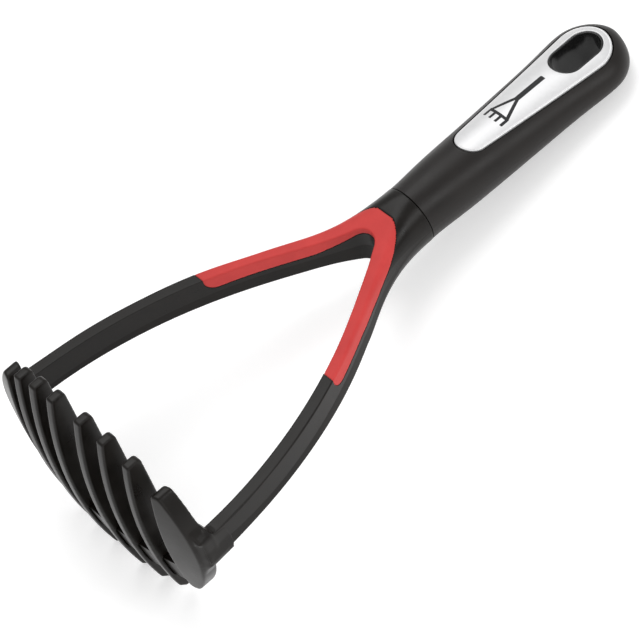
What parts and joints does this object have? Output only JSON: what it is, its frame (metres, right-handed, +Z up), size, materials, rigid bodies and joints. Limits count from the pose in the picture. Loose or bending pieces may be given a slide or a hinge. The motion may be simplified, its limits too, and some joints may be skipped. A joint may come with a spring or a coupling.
{
  "type": "potato masher",
  "caption": "Hand potato masher with an oval head of curved parallel blades, a Y-shaped yoke with a soft overlay, and a straight grip with a hang slot.",
  "frame": {"origin": "centre of the bounding box at the level of the surface that the tool lies on", "axes": "the tool lies on its back: +Y from the mashing head towards the butt of the grip, +Z up, out of the face plate, +X across the blades; the tool leans about 8 degrees, because it rests on the rear tips of its blades and on its butt"},
  "size_m": [0.1186, 0.279, 0.0908],
  "materials": {
    "black_nylon": "moulded glass-filled nylon, satin",
    "red_soft": "soft-touch matte",
    "black_grip": "fine matte soft-feel",
    "core_plastic": "plain moulded",
    "satin_plate": "satin",
    "adhesive": "matt foam pad",
    "gloss_black": "gloss"
  },
  "bodies": {
    "root": {"end_blade_left": "black_nylon", "blade_2": "black_nylon", "blade_3": "black_nylon", "blade_4": "black_nylon", "blade_5": "black_nylon", "blade_6": "black_nylon", "blade_7": "black_nylon", "end_blade_right": "black_nylon", "cross_web": "black_nylon", "socket_left": "black_nylon", "socket_right": "black_nylon", "yoke": "black_nylon", "yoke_overlay": "red_soft", "handle_shell": "black_grip", "handle_core": "core_plastic", "face_plate": "satin_plate", "plate_adhesive": "adhesive", "hang_eyelet": "gloss_black"}
  },
  "joints": []
}
